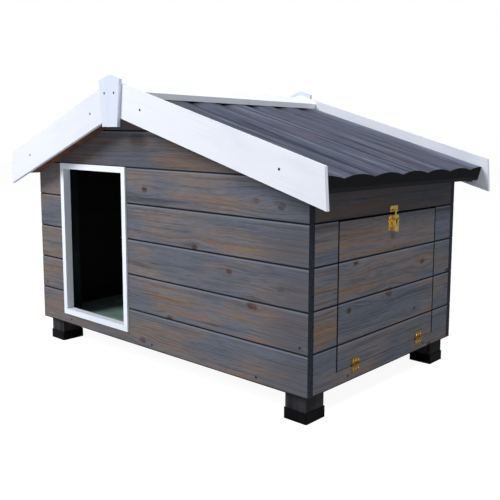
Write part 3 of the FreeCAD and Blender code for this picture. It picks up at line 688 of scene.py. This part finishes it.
def make_wall_stains():
    front_ends = (WALL_LEFT, WALL_RIGHT)
    hatch_ends = (hatch_box[0][1], hatch_box[1][1])
    whole_height = (0.0, 1.0)
    corners = [(side_wall[0][1], *whole_height), (side_wall[1][1], *whole_height)]
    # painted shade: black lines on the fixed boards beside the hatch stand for the shade in its
    # gaps
    hatch_height = (hatch_box[0][2] - HATCH_GAP, hatch_box[1][2] + HATCH_GAP)
    hatch_gap_shade = [(hatch_ends[0] - HATCH_GAP, *hatch_height),
            (hatch_ends[1] + HATCH_GAP, *hatch_height)]
    wall_stain("stain_front", ALONG_X, 1.0, FRONT_KNOTS, WALL_MIDDLE, ends=front_ends,
               blue=BLUE_PATCH)
    # the gable and the top board of the right wall carry painted shade
    wall_stain("stain_gable_painted_shade", ALONG_X, 5.0, ends=front_ends, shade=GABLE_PAINTED_SHADE)
    wall_stain("stain_left", ALONG_Y, 31.0, seams=corners)
    wall_stain("stain_sides", ALONG_Y, 11.0, SIDE_KNOTS, DEPTH_MIDDLE, seams=corners + hatch_gap_shade)
    wall_stain("stain_top_board_painted_shade", ALONG_Y, 17.0, seams=corners, shade=TOP_BOARD_PAINTED_SHADE)
    wall_stain("stain_hatch", ALONG_Y, 23.0, SIDE_KNOTS, DEPTH_MIDDLE, ends=hatch_ends)


def make_finishes():
    make_wall_stains()
    roof_stain("roof_stain_right", DOWN_RIGHT, "roof_boards_right", 1, SLOPE_RIGHT)
    roof_stain("roof_stain_left", DOWN_LEFT, "roof_boards_left", -1, SLOPE_LEFT)
    moulded_plastic("cap_plastic", ink(7, 7, 9), ink(26, 26, 28))
    for maker, rows in ((white_paint, PAINTS), (plain_timber, TIMBERS), (metal, METALS)):
        for row in rows:
            maker(*row)


def finish_nodes():
    """Give every CAD node its material."""
    for name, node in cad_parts.items():
        match = max((start for start in NODE_FINISHES if name.startswith(start)), key=len)
        node.data.materials.clear()
        node.data.materials.append(finishes[NODE_FINISHES[match]])


# ---------------------------------------------------------------- screw heads
SCREW_SIDES = 20
SORT_WEIGHTS = Vector((1.0, 1e3, 1e6))     # one number that orders places by Z, Y and X
WOOD_SCREW_RADIUS = 3.0 * MM
WOOD_SCREW_DOME = 0.3 * MM
BRASS_SCREW_RADIUS = 2.1 * MM
BRASS_SCREW_DOME = 0.9 * MM
SCREW_RIM = 0.55                           # share of the dome's height
# share of the radius that each ring is inset, and of the dome's height that it rises
SCREW_RINGS = ((0.18, 0.30), (0.36, 0.15), (0.06, -0.5))

# X is from the middle of the walls, Y from the middle of the depth
POST_SCREW_X = (-509 * MM, 509 * MM)
FLOOR_SCREW_X = (-383 * MM, -3 * MM, 378 * MM)
FLOOR_SCREW_Y = (-172 * MM, 172 * MM)
FLOOR_SCREW_Z = 81 * MM
POST_SCREW_Z = 178 * MM
BARGE_SCREWS = ((39 * MM, 694 * MM), (497 * MM, 569 * MM),
                (-172 * MM, 686 * MM), (-482 * MM, 569 * MM))
FINIAL_SCREW_REACH = 20 * MM
FINIAL_SCREW_Z = 737 * MM


def screw_pattern(radius, dome):
    """Round head with a dished middle, standing on the origin."""
    mesh = bmesh.new()
    rim = bmesh.ops.create_circle(mesh, cap_ends=True, segments=SCREW_SIDES, radius=radius)
    faces = list({face for vertex in rim["verts"] for face in vertex.link_faces})
    raised = bmesh.ops.extrude_face_region(mesh, geom=faces)["geom"]
    top = [item for item in raised if isinstance(item, bmesh.types.BMVert)]
    bmesh.ops.translate(mesh, verts=top, vec=(0, 0, dome * SCREW_RIM))
    cap = [item for item in raised if isinstance(item, bmesh.types.BMFace)]
    for inset, rise in SCREW_RINGS:
        bmesh.ops.inset_region(mesh, faces=cap, thickness=radius * inset)
        inner = list({vertex for face in cap for vertex in face.verts})
        bmesh.ops.translate(mesh, verts=inner, vec=(0, 0, dome * rise))
    bmesh.ops.recalc_face_normals(mesh, faces=mesh.faces)
    # the operators' own order differs from run to run
    mesh.verts.sort(key=lambda vertex: vertex.co.dot(SORT_WEIGHTS))
    mesh.faces.sort(key=lambda face: face.calc_center_median().dot(SORT_WEIGHTS))
    pattern = bpy.data.meshes.new("screw_pattern")
    mesh.to_mesh(pattern)
    mesh.free()
    return pattern


def add_screw(mesh, pattern, spot, outward):
    head = pattern.copy()
    turned = Vector((0, 0, 1)).rotation_difference(outward).to_matrix().to_4x4()
    head.transform(Matrix.Translation(spot) @ turned)
    mesh.from_mesh(head)
    bpy.data.meshes.remove(head)


def new_object(name, mesh, material):
    data = bpy.data.meshes.new(name)
    mesh.to_mesh(data)
    mesh.free()
    data.materials.append(material)
    piece = bpy.data.objects.new(name, data)
    bpy.context.collection.objects.link(piece)
    return piece


def screw_piece(name, mesh, material, body):
    piece = new_object(name, mesh, material)
    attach(piece, body)


def wood_screws(material):
    mesh = bmesh.new()
    pattern = screw_pattern(WOOD_SCREW_RADIUS, WOOD_SCREW_DOME)
    for name, side, wall in (("front", 0, FRONT_FACE), ("back", 1, BACK_FACE)):
        out = Vector((0, 2 * side - 1, 0))
        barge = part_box("barge_board_" + name + "_right")[side][1]
        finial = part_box("finial_" + name)[side][1]
        spots = [(x, wall, FLOOR_SCREW_Z) for x in FLOOR_SCREW_X]
        spots += [(x, wall, POST_SCREW_Z) for x in POST_SCREW_X]
        spots += [(x, barge, z) for x, z in BARGE_SCREWS]
        spots = [(x + WALL_MIDDLE, y, z) for x, y, z in spots]
        spots += [(RIDGE_X + reach, finial, FINIAL_SCREW_Z)
                  for reach in (-FINIAL_SCREW_REACH, FINIAL_SCREW_REACH)]
        for spot in spots:
            add_screw(mesh, pattern, spot, out)
    for face, out in ((WALL_LEFT, -1), (WALL_RIGHT, 1)):
        for y in FLOOR_SCREW_Y:
            spot = (face, DEPTH_MIDDLE + y, FLOOR_SCREW_Z)
            add_screw(mesh, pattern, spot, Vector((out, 0, 0)))
    screw_piece("wood_screw_heads", mesh, material, "house")


LEAF_THICK = 1.2 * MM
LEAF_SCREW_REACH = 10 * MM       # from the middle of the leaf, and from the pin
LATCH_SCREW_REACH = 19.5 * MM
LATCH_SCREW_DROPS = (3 * MM, 15.5 * MM, 28 * MM)
CATCH_SCREW_REACH = 13.5 * MM
CATCH_SCREW_RISE = 9 * MM


def brass_screws(material):
    """Heads on the leaves and plates: below the pins on the house, above them on the hatch."""
    pattern = screw_pattern(BRASS_SCREW_RADIUS, BRASS_SCREW_DOME)
    face = SIDE_FACE + LEAF_THICK
    for body, side in (("house", -1), ("hatch", 1)):
        mesh = bmesh.new()
        spots = []
        for end in ("front", "back"):
            low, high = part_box("hinge_pin_" + end)
            pin_z = (low[2] + high[2]) / 2
            spots += [((low[1] + high[1]) / 2 + reach, pin_z + side * LEAF_SCREW_REACH)
                      for reach in (-LEAF_SCREW_REACH, 0.0, LEAF_SCREW_REACH)]
        if body == "house":
            low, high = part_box("latch_catch")
            plate = [(reach, low[2] + CATCH_SCREW_RISE)
                     for reach in (-CATCH_SCREW_REACH, CATCH_SCREW_REACH)]
        else:
            low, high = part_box("latch_base")
            plate = [(reach, high[2] - drop) for drop in LATCH_SCREW_DROPS
                     for reach in (-LATCH_SCREW_REACH, LATCH_SCREW_REACH)]
        spots += [((low[1] + high[1]) / 2 + reach, z) for reach, z in plate]
        for y, z in spots:
            add_screw(mesh, pattern, (face, y, z), Vector((1, 0, 0)))
        screw_piece("brass_screw_heads_" + body, mesh, material, body)


# ------------------------------------------------------------- light and floor
FLOOR_RADIUS = 14.0
FLOOR_SIDES = 64
FLOOR_BOUNCE = (0.58, 0.58, 0.59, 1)  # what lights the house from below
FLOOR_SEEN = (0.9, 0.9, 0.9, 1)
FLOOR_GLOW = 1.16
FLOOR_GLOW_SHARE = 0.8                # the rest keeps the shadow
WHITE = (1, 1, 1, 1)
SKY_TONE = (0.94, 0.97, 1, 1)
SKY_STRENGTH = 0.28
# name, place, aim, size in metres, watts, tone
LAMPS = (
    ("key", (-1.2, -3.4, 2.9), (0, 0, 0.35), 1.6, 152, (1, 1, 1)),
    ("side", (2.2, 0.1, 3.3), (0.45, 0, 0.35), 0.7, 60, (0.92, 0.96, 1.0)),
    ("top", (0.2, -0.4, 3.8), (0, 0, 0.4), 2.0, 14, (1, 1, 1)),
)


def emptied_tree(holder):
    holder.use_nodes = True
    holder.node_tree.nodes.clear()
    return holder.node_tree


def seen_directly(tree):
    """1 for rays from the camera."""
    return put(tree, "ShaderNodeLightPath").outputs["Is Camera Ray"]


def set_stage():
    mesh = bmesh.new()
    bmesh.ops.create_circle(mesh, cap_ends=True, segments=FLOOR_SIDES, radius=FLOOR_RADIUS)
    material = bpy.data.materials.new("floor_pale")
    tree = emptied_tree(material)
    seen = seen_directly(tree)
    tone = blend(tree, seen, FLOOR_BOUNCE, FLOOR_SEEN)
    matt = put(tree, "ShaderNodeBsdfDiffuse", {"Color": tone})
    glow = put(tree, "ShaderNodeEmission", {"Color": WHITE, "Strength": FLOOR_GLOW})
    share = times(tree, seen, FLOOR_GLOW_SHARE)
    mixed = put(tree, "ShaderNodeMixShader", {0: share, 1: matt.outputs[0], 2: glow.outputs[0]})
    put(tree, "ShaderNodeOutputMaterial", {"Surface": mixed.outputs[0]})
    new_object("floor", mesh, material)


def set_world():
    """Soft light from all round; the camera itself sees white behind the house."""
    world = bpy.data.worlds.new("studio")
    tree = emptied_tree(world)
    soft = put(tree, "ShaderNodeBackground", {"Color": SKY_TONE, "Strength": SKY_STRENGTH})
    white = put(tree, "ShaderNodeBackground", {"Color": WHITE, "Strength": 1.0})
    mixed = put(tree, "ShaderNodeMixShader",
                {0: seen_directly(tree), 1: soft.outputs[0], 2: white.outputs[0]})
    put(tree, "ShaderNodeOutputWorld", {"Surface": mixed.outputs[0]})
    bpy.context.scene.world = world


def set_lamps():
    for name, place, aim, size, power, tone in LAMPS:
        light = bpy.data.lights.new(name, "AREA")
        light.size = size
        light.energy = power
        light.color = tone
        holder = bpy.data.objects.new(name, light)
        holder.location = place
        facing = (Vector(aim) - Vector(place)).to_track_quat("-Z", "Y")
        holder.rotation_euler = facing.to_euler()
        bpy.context.collection.objects.link(holder)


bpy.context.scene.view_settings.view_transform = "Standard"
set_camera()
set_world()
set_lamps()
set_stage()
make_finishes()
finish_nodes()
wood_screws(finishes["screw_steel"])
brass_screws(finishes["brass"])
